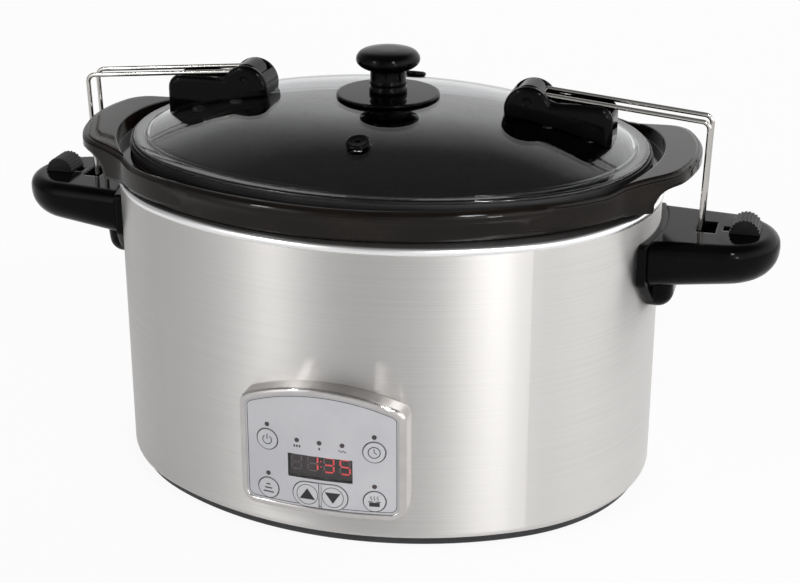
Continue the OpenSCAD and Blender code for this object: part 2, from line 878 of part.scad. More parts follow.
// Ear in plan, with every outer edge moved in by inset
module ear_plan(inset) {
    beyond = ear_end_c + 2 * (ear_corner_c - ear_end_c);
    difference() {
        union() {
            intersection() {
                translate(ear_end_c) circle(ear_end_r - inset, $fn = 180);
                polygon([ear_end_c, front(beyond), beyond]);
            }
            for (c = [ear_corner_c, front(ear_corner_c)]) translate(c) circle(ear_corner_r - inset);
            polygon([
                [end_x, 0], front(ear_fillet_c), front(ear_corner_c), ear_corner_c, ear_fillet_c
            ]);
        }
        for (c = [ear_fillet_c, front(ear_fillet_c)]) translate(c)
            circle(ear_fillet_r + inset + ear_bite, $fn = 180);
    }
    // Lip that keeps the rim as thick beside the mouth
    translate([end_c(mouth_a, mouth_b), 0]) circle(end_r(mouth_a, mouth_b) + ear_lip - inset, $fn = 180);
}

// Ear seen from the side, with its top and its underside moved in by inset
module ear_side(inset) {
    difference() {
        union() {
            translate([ear_start, ear_foot_z + inset]) square([ear_reach, rim_z - ear_foot_z - 2 * inset]);
            intersection() {
                translate([ear_crest_x, ear_crest_z - ear_arch_r]) circle(ear_arch_r - inset, $fn = 360);
                translate([ear_start, ear_foot_z + inset]) square([ear_reach, ear_crest_z - ear_foot_z]);
            }
        }
        translate([hollow_x, hollow_z]) circle(hollow_r + inset);
        translate([hollow_x, 0]) square([ear_reach, hollow_z + hollow_r + inset]);
        translate([hollow_x - hollow_r - inset, 0]) square([ear_reach, hollow_z]);
    }
}

// Layers that round the edge of an ear: how far the top and the outline of each stand back
ear_layers = [[2.5, 0], [0.8, 1.3], [0, 3.6]];

module ears() {
    for (side = [-1, 1], layer = ear_layers) mirrored(side) intersection() {
        linear_extrude(ear_crest_z) ear_plan(layer[1]);
        rotate([90, 0, 0]) linear_extrude(2 * housing_a, center = true) ear_side(layer[0]);
    }
}

// Section of the stoneware, from the rolled rim down to the curve into the floor
module crock_profile() {
    wall_foot = crock_floor + floor_curve;
    // The outer face leaves the roll on a slant
    slant = [-collar_in - roll_r, rim_z - roll_r] + (roll_r - 0.1) * [cos(roll_blend), -sin(roll_blend)];
    translate([-collar_in - roll_r, rim_z - roll_r]) circle(roll_r, $fn = 48);
    polygon([
        [-body_in - crock_t, wall_foot],
        [-body_in - crock_t, ledge_z - 1.5],
        [-body_in - crock_t - 1.5, ledge_z],
        [-body_in - crock_t - 1.5, rim_z],
        [-collar_in - roll_r, rim_z],
        slant,
        [-face_in, slant[1] - (slant[0] + face_in) / tan(roll_blend)],
        [-face_in, collar_z + 1.2],
        [-face_in - 1.2, collar_z],
        [-body_in, collar_z],
        [-body_in, wall_foot]
    ]);
    intersection() {
        translate([-body_in - floor_curve, wall_foot]) difference() {
            circle(floor_curve);
            circle(floor_curve - crock_t);
        }
        translate([-body_in - floor_curve, crock_floor]) square(floor_curve);
    }
}

module crock() {
    color(pot) rotate(crock_turn) {
        difference() {
            union() {
                housing_sweep() crock_profile();
                difference() {
                    ears();
                    linear_extrude(ledge_z + eps) housing_oval(-body_in);
                }
            }
            translate([0, 0, ledge_z]) linear_extrude(rim_z) oval(mouth_a, mouth_b);
        }
        translate([0, 0, crock_floor]) linear_extrude(crock_t) housing_oval(-body_in - floor_curve + 2);
    }
}

// ---- Lid ----
glass_a = 168.5;
glass_b = 126;
flange_top = 224;
step_h = 2;
step_w = 1.5;
dome_a = glass_a - flange_w - step_w;
dome_b = glass_b - flange_w - step_w;
dome_base = flange_top + step_h;
dome_h = crown_z - dome_base;
dome_rings = 9;
arc_steps = 18;

// Height of the outside of the dome at a share of the way from its centre to its edge
function dome_z(share) = dome_base + dome_h * (1 - pow(share, dome_power));

// Slope of the dome there, for the half size that the share is measured along
function dome_slope(share, half) = dome_h * dome_power * pow(share, dome_power - 1) / half;

function at_height(points, z) = [for (p = points) [p[0], p[1], z]];

// Rings of the glass section, from the first ring of the dome out to the edge, lowered by drop
function glass_rings(drop) = concat(
    [for (i = [1 : dome_rings]) let (share = i / dome_rings)
        at_height(share * oval_points(dome_a, dome_b, arc_steps), dome_z(share) - drop)],
    [for (w = [[step_w, step_h], [flange_w + step_w - 1.2, step_h], [flange_w + step_w, step_h + 1.2]])
        at_height(oval_points(dome_a + w[0], dome_b + w[0], arc_steps),
            dome_base - (drop > 0 ? step_h : w[1]) - drop)]
);

module glass_blank() {
    upper = glass_rings(0);
    lower = glass_rings(glass_t);
    rings = concat(upper, [for (i = [len(lower) - 1 : -1 : 0]) lower[i]]);
    n = 4 * arc_steps;
    last = len(rings) * n;
    points = concat([for (ring = rings, p = ring) p], [[0, 0, crown_z], [0, 0, crown_z - glass_t]]);
    polyhedron(points, concat(
        [for (i = [0 : len(rings) - 2], j = [0 : n - 1])
            [i * n + j, (i + 1) * n + j, (i + 1) * n + (j + 1) % n, i * n + (j + 1) % n]],
        [for (j = [0 : n - 1]) [last, j, (j + 1) % n]],
        [for (j = [0 : n - 1]) [last + 1, last - n + (j + 1) % n, last - n + j]]
    ));
}

knob_screw_d = 5;
vent_x = 4;
vent_y = 80;
vent_hole_d = 9;
bracket_screw_d = 4;
bracket_screw_x = [104, 130];

// Vents stand square to the slope of the glass
module vent_places() {
    vent_share = vent_y / dome_b;
    for (turn = [0, 180]) rotate(turn) translate([vent_x, -vent_y, dome_z(vent_share)])
        rotate([atan(dome_slope(vent_share, dome_b)), 0, 0]) children();
}

module lid_glass() {
    color("#5a5e63", 0.6) difference() {
        glass_blank();
        translate([0, 0, crown_z]) cylinder(d = knob_screw_d + 2, h = 4 * glass_t, center = true);
        for (side = [-1, 1], x = bracket_screw_x)
            translate([side * x, 0, dome_z(x / dome_a)])
                cylinder(d = bracket_screw_d + 1, h = 6 * glass_t, center = true);
        vent_places() cylinder(d = vent_hole_d, h = 6 * glass_t, center = true);
    }
}

gasket_foot = ledge_z + clear;
gasket_lip_z = 222;
// How far the skirt of the gasket and its fin stand out from the glass
gasket_skirt = 1.2;
gasket_fin = 2.05;

module lid_gasket() {
    under = flange_top - glass_t;
    color("#121214") oval_sweep(glass_a, glass_b) {
        translate([-flange_w - step_w, gasket_foot])
            square([flange_w + step_w + gasket_skirt, under - gasket_foot]);
        translate([fit, under - 1]) square([gasket_skirt - fit, gasket_lip_z - under + 1]);
        // Fin that wipes against the mouth of the crock
        translate([0, under - 2.6]) square([gasket_fin, 1.6]);
    }
}

plate_h = 1.8;
neck_d = 23;
cap_z = 266;
cap_top = 281.5;

module knob_plate() {
    color(black) translate([0, 0, crown_z]) rotate_extrude() polygon([
        [knob_screw_d / 2 + fit, 0], [knob_plate_d / 2 - 0.6, 0], [knob_plate_d / 2, 0.6],
        [knob_plate_d / 2 - 0.4, plate_h - 0.3], [knob_plate_d / 2 - 2, plate_h],
        [knob_screw_d / 2 + fit, plate_h]
    ]);
}

module lid_knob() {
    neck_z = crown_z + plate_h;
    cap_edge = 4.6;
    cap_r = knob_cap_d / 2;
    color(black) difference() {
        rotate_extrude() {
            translate([0, neck_z]) square([neck_d / 2 + 0.8, 3]);
            translate([0, neck_z]) square([neck_d / 2, cap_z - neck_z + 1]);
            translate([0, neck_z + 6]) square([neck_d / 2 + 0.6, 1.4]);
            // Cap with a full round edge and a low crown
            translate([0, cap_z]) square([cap_r - cap_edge, 2 * cap_edge]);
            translate([cap_r - cap_edge, cap_z + cap_edge]) circle(cap_edge, $fn = 48);
            translate([0, cap_z + 2 * cap_edge - eps]) intersection() {
                square([cap_r, cap_top - cap_z - 2 * cap_edge]);
                crown_sag = cap_top - cap_z - 2 * cap_edge;
                crown_r = (pow(cap_r - cap_edge, 2) + pow(crown_sag, 2)) / (2 * crown_sag);
                translate([0, crown_sag - crown_r]) circle(crown_r, $fn = 180);
            }
        }
        translate([0, 0, crown_z]) cylinder(d = knob_screw_d, h = 18);
    }
}

module knob_screw() {
    washer_z = crown_z - glass_t - fit;
    color("silver") {
        translate([0, 0, washer_z - 1.2]) cylinder(d = 16, h = 1.2);
        translate([0, 0, washer_z - 4.2]) cylinder(d1 = 8, d2 = 9, h = 3);
        translate([0, 0, washer_z]) cylinder(d = knob_screw_d - 2 * fit, h = 18);
    }
}

grommet_d = 12;
grommet_bead_d = 3.2;
grommet_head = 2.8;
grommet_tail = 3;
vent_bore_d = 3.8;

// Soft collars round the steam vents, with a round bead along the edge
module vent_grommets() {
    color(black) vent_places() rotate_extrude($fn = 48) difference() {
        union() {
            translate([0, -glass_t - grommet_tail])
                square([vent_hole_d / 2 - fit, glass_t + grommet_tail + grommet_head]);
            square([grommet_d / 2, grommet_head]);
            translate([grommet_d / 2, grommet_bead_d / 2]) circle(d = grommet_bead_d, $fn = 24);
        }
        translate([0, -3 * glass_t]) square([vent_bore_d / 2, 6 * glass_t]);
    }
}

// ---- Lid brackets and bails, drawn for the right-hand side ----
cheek_w = 28;
drum_w = 19.2;
pocket_w = drum_w + 2 * clear;
pocket_gap = 0.6;
boss_r = 15;
boss_z = 251;
boss_edge = 3;
web_inset = 2;
end_round = 9;
bracket_top = 256.8;
bracket_end = 146.5;
bracket_edge = 4;
bracket_fillet = 10;
bracket_bottom = 225;
channel_floor = bracket_top - 6;
end_wall_top = hinge_z + 4;
pin_d = 4;
drum_edge = 0.8;

// Solid below the outside of the glass, as wide as a bracket and more
module under_glass() {
    steps = 12;
    from = 60;
    to = dome_a;
    rotate([90, 0, 0]) translate([0, 0, -cheek_w]) linear_extrude(2 * cheek_w) polygon(concat(
        [[from, 0], [from, dome_z(from / dome_a)]],
        [for (i = [1 : steps]) let (x = from + (to - from) * i / steps) [x, dome_z(x / dome_a)]],
        [[to, 0]]
    ));
}

module lid_bracket() {
    fillet_z = bracket_top + bracket_fillet;
    fillet_x = hinge_x + sqrt(pow(boss_r + bracket_fillet, 2) - pow(fillet_z - boss_z, 2));
    edge_y = cheek_w / 2 - bracket_edge;
    inner_x = hinge_x - boss_r + bracket_edge;
    color(black) difference() {
        union() {
            // Shoe-shaped body with rounded edges
            hull() for (y = [-edge_y, edge_y]) {
                for (z = [boss_z - 2, bracket_bottom]) translate([inner_x, y, z])
                    sphere(bracket_edge, $fn = 24);
                translate([fillet_x - 8, y, bracket_top - bracket_edge]) sphere(bracket_edge, $fn = 24);
                translate([bracket_end - bracket_edge, y, bracket_bottom]) sphere(bracket_edge, $fn = 24);
                translate([bracket_end - end_round, y, bracket_top - end_round]) rotate([90, 0, 0])
                    rotate_extrude($fn = 32) translate([end_round - bracket_edge, 0])
                        circle(bracket_edge, $fn = 24);
            }
            // Round boss that carries the drum
            translate([hinge_x, 0, boss_z]) rotate([90, 0, 0]) rotate_extrude() for (m = [0, 1])
                mirror([0, m]) {
                square([boss_r - boss_edge, cheek_w / 2]);
                square([boss_r, cheek_w / 2 - boss_edge]);
                translate([boss_r - boss_edge, cheek_w / 2 - boss_edge]) circle(boss_edge, $fn = 32);
            }
            // Web that blends the boss into the body
            rotate([90, 0, 0]) translate([0, 0, web_inset - cheek_w / 2])
                linear_extrude(cheek_w - 2 * web_inset)
                difference() {
                    polygon([
                        [hinge_x, boss_z],
                        [hinge_x + (fillet_x - hinge_x) * boss_r / (boss_r + bracket_fillet),
                            boss_z + (fillet_z - boss_z) * boss_r / (boss_r + bracket_fillet)],
                        [fillet_x, bracket_top],
                        [fillet_x, boss_z]
                    ]);
                    translate([fillet_x, fillet_z]) circle(bracket_fillet);
                }
        }
        under_glass();
        // Pocket for the drum, open above the end wall
        translate([hinge_x, 0, hinge_z]) y_cylinder(drum_d + 2 * pocket_gap, pocket_w);
        translate([hinge_x - 2 * boss_r, -pocket_w / 2, end_wall_top]) cube([2 * boss_r, pocket_w, boss_r]);
        // Channel under the wires
        translate([hinge_x, -pocket_w / 2, channel_floor])
            cube([bracket_end + 1 - hinge_x, pocket_w, 2 * boss_r]);
        translate([hinge_x, 0, hinge_z]) y_cylinder(pin_d + 2 * fit, 2 * cheek_w);
        for (x = bracket_screw_x) translate([x, 0, bracket_bottom])
            cylinder(d = bracket_screw_d, h = channel_floor - 1 - bracket_bottom);
    }
}

bracket_screw_head = 2.6;
bracket_screw_l = 10.5;

module bracket_screws() {
    head_r = bracket_screw_d;
    color("silver") for (x = bracket_screw_x)
        // The head hangs clear of the slope of the glass
        translate([x, 0, dome_z(x / dome_a) - glass_t - head_r * dome_slope(x / dome_a, dome_a)]) {
            translate([0, 0, -bracket_screw_head]) cylinder(r = head_r, h = bracket_screw_head);
            cylinder(d = bracket_screw_d - 2 * fit, h = bracket_screw_l);
        }
}

module hinge_pin() {
    color("#8c8c8c") translate([hinge_x, 0, hinge_z]) y_cylinder(pin_d, cheek_w - 1);
}

// Point where the arms of the bail leave the drum, and the slope of the arms
arm_start = [102, 260.6];
arm_slope = atan2(arm_start[1] - bail_z, bail_x - arm_start[0]);
arm_in = 8;
arm_root = [arm_start[0] - arm_in, arm_start[1] + arm_in * tan(arm_slope)];

module arm_line(d) {
    for (s = [-1, 1]) translate([arm_root[0], s * wire_pitch / 2, arm_root[1]])
        rotate([0, 90 + arm_slope, 0])
        cylinder(d = d, h = drum_d);
}

module bail_drum() {
    color("#38383a") difference() {
        translate([hinge_x, 0, hinge_z]) difference() {
            union() {
                y_cylinder(drum_d, drum_w - 2 * drum_edge);
                for (s = [-1, 1]) translate([0, s * (drum_w / 2 - drum_edge), 0]) rotate([-90 * s, 0, 0])
                    cylinder(d1 = drum_d, d2 = drum_d - 2 * drum_edge, h = drum_edge);
            }
            y_cylinder(pin_d + 4 * fit, 2 * drum_w);
        }
        arm_line(wire_d + 2 * fit);
    }
}

// Round bar along straight runs, with a bend at each corner between them; the bends are a hair fatter
module bent_bar(points, bends, d) {
    swell = 0.04;
    lap = 0.25;
    count = len(points);
    trims = [for (i = [0 : count - 1]) i == 0 || i == count - 1 ? 0 :
        let (u = unit(points[i - 1] - points[i]), v = unit(points[i + 1] - points[i]))
        bends[i] / tan(acos(u * v) / 2)];
    for (i = [0 : count - 2]) {
        u = unit(points[i + 1] - points[i]);
        from = max(0, trims[i] - lap);
        run = norm(points[i + 1] - points[i]) - from - max(0, trims[i + 1] - lap);
        along(points[i] + from * u, u) cylinder(d = d, h = run, $fn = 32);
    }
    for (i = [1 : count - 2]) {
        u = unit(points[i - 1] - points[i]);
        v = unit(points[i + 1] - points[i]);
        turn = 180 - acos(u * v);
        centre = points[i] + unit(u + v) * bends[i] / sin((180 - turn) / 2);
        x_axis = unit(points[i] + trims[i] * u - centre);
        z_axis = unit(cross(v, u));
        y_axis = cross(z_axis, x_axis);
        frame(centre, x_axis, y_axis, z_axis) rotate_extrude(angle = turn, $fn = 96)
            translate([bends[i], 0]) circle(d = d + swell, $fn = 32);
    }
}

function unit(v) = v / norm(v);

module frame(o, x, y, z) {
    multmatrix([[x[0], y[0], z[0], o[0]], [x[1], y[1], z[1], o[1]], [x[2], y[2], z[2], o[2]], [0, 0, 0, 1]])
        children();
}

// Points the children's z axis along a direction
module along(o, dir) {
    side = unit(cross(dir, abs(dir[1]) > 0.9 ? [1, 0, 0] : [0, 1, 0]));
    frame(o, side, cross(dir, side), dir) children();
}

module bail_wire() {
    half = wire_pitch / 2;
    color("#c8c8c6") bent_bar(
        [
            [arm_root[0], -half, arm_root[1]], [bail_x, -half, bail_z], [bar_x, -half, bar_z],
            [bar_x, half, bar_z], [bail_x, half, bail_z], [arm_root[0], half, arm_root[1]]
        ],
        [0, 5, 3, 3, 5, 0], wire_d
    );
}

module left_lid_bracket() mirrored(-1) lid_bracket();
module right_lid_bracket() mirrored(1) lid_bracket();
module left_bracket_screws() mirrored(-1) bracket_screws();
module right_bracket_screws() mirrored(1) bracket_screws();
module left_hinge_pin() mirrored(-1) hinge_pin();
module right_hinge_pin() mirrored(1) hinge_pin();
module left_bail_drum() mirrored(-1) bail_drum();
module right_bail_drum() mirrored(1) bail_drum();
module left_bail_wire() mirrored(-1) bail_wire();
module right_bail_wire() mirrored(1) bail_wire();

housing_shell();
top_rim();
heating_liner();
heater_band();
thermal_fuse();
temp_sensor();
sensor_spring();
liner_posts();
base_pan();
base_screws();
feet();
power_board();
cord_gland();
panel_frame();
panel_face();
display_window();
display_module();
indicator_leds();
control_board();
tact_switches();
panel_screws();
start_stop_button();
mode_button();
delay_button();
timer_button();
up_button();
down_button();
left_handle();
right_handle();
left_handle_bracket();
right_handle_bracket();
left_handle_screws();
right_handle_screws();
left_latch_knob();
right_latch_knob();
left_latch_bolt();
right_latch_bolt();
crock();
lid_glass();
lid_gasket();
lid_knob();
knob_plate();
knob_screw();
vent_grommets();
left_lid_bracket();
right_lid_bracket();
left_bracket_screws();
right_bracket_screws();
left_hinge_pin();
right_hinge_pin();
left_bail_drum();
right_bail_drum();
left_bail_wire();
right_bail_wire();
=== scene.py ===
# Visual model of an oval slow cooker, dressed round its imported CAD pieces.
#
# Every CAD piece gets its material. Smooth skins stand in for the moulded pieces, the lid glass and the lid
# knob are made again in even rings, and the control panel gets its prints. Bare lengths are in millimetres,
# and MM turns them into Blender's metres where a point is made.
import bpy, bmesh, math
from collections import namedtuple
from mathutils import Matrix, Vector


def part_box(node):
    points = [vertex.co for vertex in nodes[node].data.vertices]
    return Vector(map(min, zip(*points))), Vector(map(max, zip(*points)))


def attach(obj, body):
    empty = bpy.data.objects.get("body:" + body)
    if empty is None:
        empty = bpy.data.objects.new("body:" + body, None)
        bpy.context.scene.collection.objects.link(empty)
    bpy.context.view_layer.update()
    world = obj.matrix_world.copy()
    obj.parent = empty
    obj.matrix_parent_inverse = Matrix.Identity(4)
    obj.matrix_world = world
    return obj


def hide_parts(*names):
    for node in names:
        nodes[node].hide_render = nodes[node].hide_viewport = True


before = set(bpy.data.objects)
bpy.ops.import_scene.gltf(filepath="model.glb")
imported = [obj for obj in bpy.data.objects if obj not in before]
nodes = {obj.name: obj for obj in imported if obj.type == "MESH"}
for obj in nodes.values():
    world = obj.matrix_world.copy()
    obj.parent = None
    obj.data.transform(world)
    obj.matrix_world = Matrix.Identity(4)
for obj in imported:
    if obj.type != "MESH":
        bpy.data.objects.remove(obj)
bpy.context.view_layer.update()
MM = 0.001
SIDES = ("left", "right")
Corner = namedtuple("Corner", "x y z")


def box_mm(node):
    """Lowest and highest corner of a CAD node at rest, in millimetres to three decimals."""
    return [Corner(*(round(v / MM, 3) for v in corner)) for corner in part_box(node)]


def centre_mm(node):
    """Centre of a node as the front view shows it: across and up, in millimetres."""
    low, high = box_mm(node)
    return (low.x + high.x) / 2, (low.z + high.z) / 2


# ---------------------------------------------------------------- camera
AZ, EL = math.radians(15.573), math.radians(22.277)
TARGET = Vector((7.26, 2.02, 114.66)) * MM
DISTANCE = 1.17246
back = Vector((math.sin(AZ) * math.cos(EL), -math.cos(AZ) * math.cos(EL), math.sin(EL)))
cam_data = bpy.data.cameras.new("camera")
cam_data.sensor_width = 36
cam_data.lens = 78.864
cam = bpy.data.objects.new("camera", cam_data)
cam.location = TARGET + back * DISTANCE
cam.rotation_mode = "QUATERNION"
cam.rotation_quaternion = (-back).to_track_quat("-Z", "Y")
bpy.context.scene.collection.objects.link(cam)
bpy.context.scene.camera = cam
bpy.context.scene.view_settings.view_transform = "Standard"


# ---------------------------------------------------------------- node helpers
class Nodes:
    """Short ways to build a node tree."""

    def __init__(self, tree):
        self.tree = tree

    def node(self, kind, **values):
        """A new node; each value goes to the socket of that name, or else to the setting."""
        made = self.tree.nodes.new(kind)
        for key, value in values.items():
            socket = key.replace("_", " ")
            if socket in made.inputs:
                made.inputs[socket].default_value = value
            else:
                setattr(made, key, value)
        return made

    def link(self, output, socket):
        self.tree.links.new(output, socket)

    def ramp(self, value, stops, interpolation="LINEAR"):
        """Colours along a value; every stop is a position from 0 to 1 and a colour."""
        made = self.node("ShaderNodeValToRGB")
        made.color_ramp.interpolation = interpolation
        elements = made.color_ramp.elements
        while len(elements) < len(stops):
            elements.new(0.5)
        for element, (position, colour) in zip(elements, stops):
            element.position = position
            element.color = (*colour, 1)
        self.link(value, made.inputs["Fac"])
        return made.outputs["Color"]

    def span(self, value, to=(0.0, 1.0), start=(0.0, 1.0)):
        """A value between the two of start, moved to lie between the two of to."""
        made = self.node("ShaderNodeMapRange", From_Min=start[0], From_Max=start[1],
                         To_Min=to[0], To_Max=to[1])
        self.link(value, made.inputs["Value"])
        return made.outputs["Result"]

    def math(self, operation, one, two):
        """One sum; each side is a number or another node's output."""
        made = self.node("ShaderNodeMath", operation=operation)
        for socket, side in zip(made.inputs, (one, two)):
            if isinstance(side, (int, float)):
                socket.default_value = side
            else:
                self.link(side, socket)
        return made.outputs[0]

    def mix(self, factor, one, two):
        """The first colour where the factor is 0, and the fixed second one where it is 1."""
        made = self.node("ShaderNodeMix", data_type="RGBA")
        self.link(factor, made.inputs["Factor"])
        self.link(one, made.inputs["A"])
        made.inputs["B"].default_value = (*two, 1)
        return made.outputs["Result"]


class Look(Nodes):
    """A material round one Principled shader."""

    def __init__(self, name):
        self.material = bpy.data.materials.new(name)
        self.material.use_nodes = True
        super().__init__(self.material.node_tree)
        self.shader = self.tree.nodes["Principled BSDF"]

    def put(self, socket, output):
        self.link(output, self.shader.inputs[socket])

    def set(self, **values):
        for key, value in values.items():
            self.shader.inputs[key.replace("_", " ")].default_value = value

    def space(self, scale=(1, 1, 1)):
        """The object's own coordinates, drawn together along each axis by the scale."""
        made = self.node("ShaderNodeMapping", Scale=scale)
        self.link(self.node("ShaderNodeTexCoord").outputs["Object"], made.inputs["Vector"])
        return made.outputs["Vector"]

    def noise(self, space, scale, detail, roughness=0.55):
        made = self.node("ShaderNodeTexNoise", Scale=scale, Detail=detail, Roughness=roughness)
        self.link(space, made.inputs["Vector"])
        return made.outputs["Fac"]

    def bump(self, height, strength, distance, normal=None):
        made = self.node("ShaderNodeBump", Strength=strength, Distance=distance)
        self.link(height, made.inputs["Height"])
        if normal is not None:
            self.link(normal, made.inputs["Normal"])
        return made.outputs["Normal"]

    def rounded(self, radius, samples):
        """Normals that turn over each edge as on a small radius, in mm; a radius of 0 leaves them alone."""
        if radius:
            return self.node("ShaderNodeBevel", Radius=radius * MM, samples=samples).outputs["Normal"]


# ---------------------------------------------------------------- kinds of material
def plastic(name, dark, light, rough, grain=1400, bump=0.12, coat=0.0, rounding=0.0, shine=0.5):
    """Moulded plastic: fine grain, faint cloudy colour and a little unevenness of the gloss."""
    look = Look(name)
    space = look.space()
    look.put("Base Color", look.ramp(look.noise(space, 38, 4), [(0.35, dark), (0.65, light)]))
    look.put("Roughness", look.span(look.noise(space, 90, 3), rough))
    look.put("Normal", look.bump(look.noise(space, grain, 2), bump, 0.00008, look.rounded(rounding, 6)))
    look.set(Coat_Weight=coat, Coat_Roughness=0.06, Specular_IOR_Level=shine)
    return look.material


def metal(name, colour, rough, grain, bump, anisotropic=0.0, rotation=0.0, rounding=0.0):
    """Metal with fine lines; a large grain along one axis makes them narrow along it."""
    look = Look(name)
    lines = look.noise(look.space(grain), 1, 4, 0.6)
    dark = tuple(c * 0.93 for c in colour)
    light = tuple(min(1, c * 1.05) for c in colour)
    look.put("Base Color", look.ramp(lines, [(0.3, dark), (0.7, light)]))
    look.put("Roughness", look.span(lines, rough))
    look.put("Normal", look.bump(lines, bump, 0.00003, look.rounded(rounding, 8)))
    look.set(Metallic=1.0, Anisotropic=anisotropic, Anisotropic_Rotation=rotation)
    if anisotropic:
        tangent = look.node("ShaderNodeTangent", direction_type="RADIAL", axis="Z")
        look.put("Tangent", tangent.outputs["Tangent"])
    return look.material


def stoneware(name):
    """Glossy black glaze that runs slightly brown, with a soft waviness and tiny pits."""
    look = Look(name)
    space = look.space()
    glaze = [(0.3, (0.004, 0.003, 0.0026)), (0.52, (0.007, 0.005, 0.004)), (0.75, (0.013, 0.0085, 0.006))]
    look.put("Base Color", look.ramp(look.noise(look.space((1, 1, 2.2)), 22, 5), glaze))
    look.put("Roughness", look.span(look.noise(space, 55, 3), (0.05, 0.11)))
    waves = look.bump(look.noise(space, 30, 2), 0.12, 0.0004, look.rounded(1.6, 8))
    look.put("Normal", look.bump(look.noise(space, 420, 2), 0.05, 0.0001, waves))
    look.set(Specular_IOR_Level=0.2)
    return look.material


def glass(name, colour, rough):
    """Tinted tempered glass with a trace of waviness."""
    look = Look(name)
    space = look.space()
    deep = tuple(c * 0.94 for c in colour)
    look.put("Base Color", look.ramp(look.noise(space, 12, 2), [(0.3, colour), (0.7, deep)]))
    look.put("Normal", look.bump(look.noise(space, 7, 1), 0.006, 0.0004))
    look.set(Transmission_Weight=1.0, Roughness=rough, IOR=1.5)
    return look.material


def glow(name, colour, strength):
    """A lit surface, a little uneven in brightness."""
    look = Look(name)
    dim = tuple(c * 0.85 for c in colour)
    look.put("Emission Color", look.ramp(look.noise(look.space(), 700, 2), [(0.3, dim), (0.7, colour)]))
    look.set(Emission_Strength=strength, Base_Color=(*[c * 0.3 for c in colour], 1), Roughness=0.4)
    return look.material


# ---------------------------------------------------------------- materials
def grey(value):
    return (value, value, value)


steel_wall = metal("brushed_steel", (0.67, 0.655, 0.64), (0.4, 0.47), (9, 9, 2600), 0.22, 0.92, 0.25)
bright_rim = metal("polished_rim", grey(0.93), (0.28, 0.34), (6, 6, 600), 0.04)
liner_metal = metal("liner_metal", (0.66, 0.67, 0.68), (0.35, 0.45), (30, 30, 300), 0.1)
plain_steel = metal("plain_steel", grey(0.58), (0.25, 0.35), (200, 200, 200), 0.08)
wire_metal = metal("polished_wire", (0.54, 0.525, 0.5), (0.07, 0.14), (300, 300, 40), 0.05)
chrome_bezel = metal("chrome_bezel", (0.6, 0.58, 0.57), (0.03, 0.05), (60, 60, 60), 0.02, rounding=2.2)
dark_pin = metal("dark_pin", grey(0.012), (0.3, 0.4), (200, 200, 200), 0.05)

black_plastic = plastic("black_plastic", (0.001, 0.001, 0.0012), (0.002, 0.002, 0.0022), (0.07, 0.11),
                        1600, 0.05, rounding=2.4, shine=0.07)
gloss_black = plastic("gloss_black_plastic", (0.0007, 0.0007, 0.0008), (0.0014, 0.0014, 0.0016), (0.05, 0.08),
                      1500, 0.03, rounding=2.6, shine=0.09)
ribbed_plastic = plastic("ribbed_plastic", grey(0.006), grey(0.012), (0.3, 0.4), 1800, 0.15,
                         rounding=0.3, shine=0.15)
base_plastic = plastic("base_plastic", (0.014, 0.014, 0.016), (0.026, 0.026, 0.029), (0.32, 0.42), 1200, 0.2)
rubber = plastic("rubber", grey(0.01), grey(0.018), (0.55, 0.7), 900, 0.3)
gasket = plastic("gasket_rubber", (0.006, 0.006, 0.007), grey(0.012), (0.35, 0.5), 900, 0.2)
panel_silver = plastic("panel_silver", (0.44, 0.44, 0.462), (0.48, 0.48, 0.5), (0.3, 0.38), 3000, 0.12,
                       coat=0.2)
button_silver = plastic("button_silver", (0.46, 0.46, 0.48), (0.5, 0.5, 0.515), (0.28, 0.36), 3000, 0.1,
                        coat=0.2)
board_green = plastic("circuit_board", (0.02, 0.1, 0.05), (0.03, 0.14, 0.07), (0.3, 0.4), 400, 0.3)
mica = plastic("heater_mica", (0.2, 0.19, 0.17), (0.3, 0.29, 0.26), (0.4, 0.6), 300, 0.5)
sleeve = plastic("fuse_sleeve", (0.5, 0.44, 0.3), (0.58, 0.5, 0.36), (0.5, 0.6), 700, 0.4)
display_dark = plastic("display_block", (0.006, 0.004, 0.004), (0.012, 0.008, 0.008), (0.3, 0.4), 900, 0.05)
led_lens = plastic("led_lens", (0.03, 0.022, 0.022), (0.05, 0.035, 0.035), (0.15, 0.25), 900, 0.05, coat=0.4)
ink = plastic("panel_ink", (0.008, 0.008, 0.012), (0.014, 0.014, 0.018), (0.4, 0.5), 2500, 0.1)
unlit_bar = plastic("unlit_segments", (0.2, 0.18, 0.18), (0.24, 0.22, 0.22), (0.4, 0.5), 900, 0.05)

stone = stoneware("stoneware_glaze")
lid_glass = glass("smoky_glass", (0.62, 0.63, 0.64), 0.015)
window_tint = glass("display_tint", (0.74, 0.68, 0.69), 0.02)
red_glow = glow("lit_segments", (1.0, 0.09, 0.09), 0.95)

LOOKS = {
    "housing_shell": steel_wall, "top_rim": bright_rim, "heating_liner": liner_metal, "heater_band": mica,
    "thermal_fuse": sleeve, "temp_sensor": plain_steel, "sensor_spring": plain_steel,
    "liner_posts": liner_metal, "base_pan": base_plastic, "base_screws": plain_steel, "feet": rubber,
    "power_board": board_green, "cord_gland": black_plastic, "panel_frame": chrome_bezel,
    "panel_face": panel_silver,
    "display_window": window_tint, "display_module": display_dark, "indicator_leds": led_lens,
    "control_board": board_green, "tact_switches": base_plastic, "panel_screws": plain_steel,
    "crock": stone, "lid_glass": lid_glass, "lid_gasket": gasket, "lid_knob": gloss_black,
    "knob_plate": gloss_black, "knob_screw": plain_steel, "vent_grommets": gloss_black,
}
for side in SIDES:
    LOOKS.update({
        side + "_handle": black_plastic, side + "_handle_bracket": black_plastic,
        side + "_handle_screws": plain_steel, side + "_latch_knob": ribbed_plastic,
        side + "_latch_bolt": plain_steel, side + "_lid_bracket": gloss_black,
        side + "_bracket_screws": plain_steel, side + "_hinge_pin": dark_pin,
        side + "_bail_drum": gloss_black, side + "_bail_wire": wire_metal,
    })
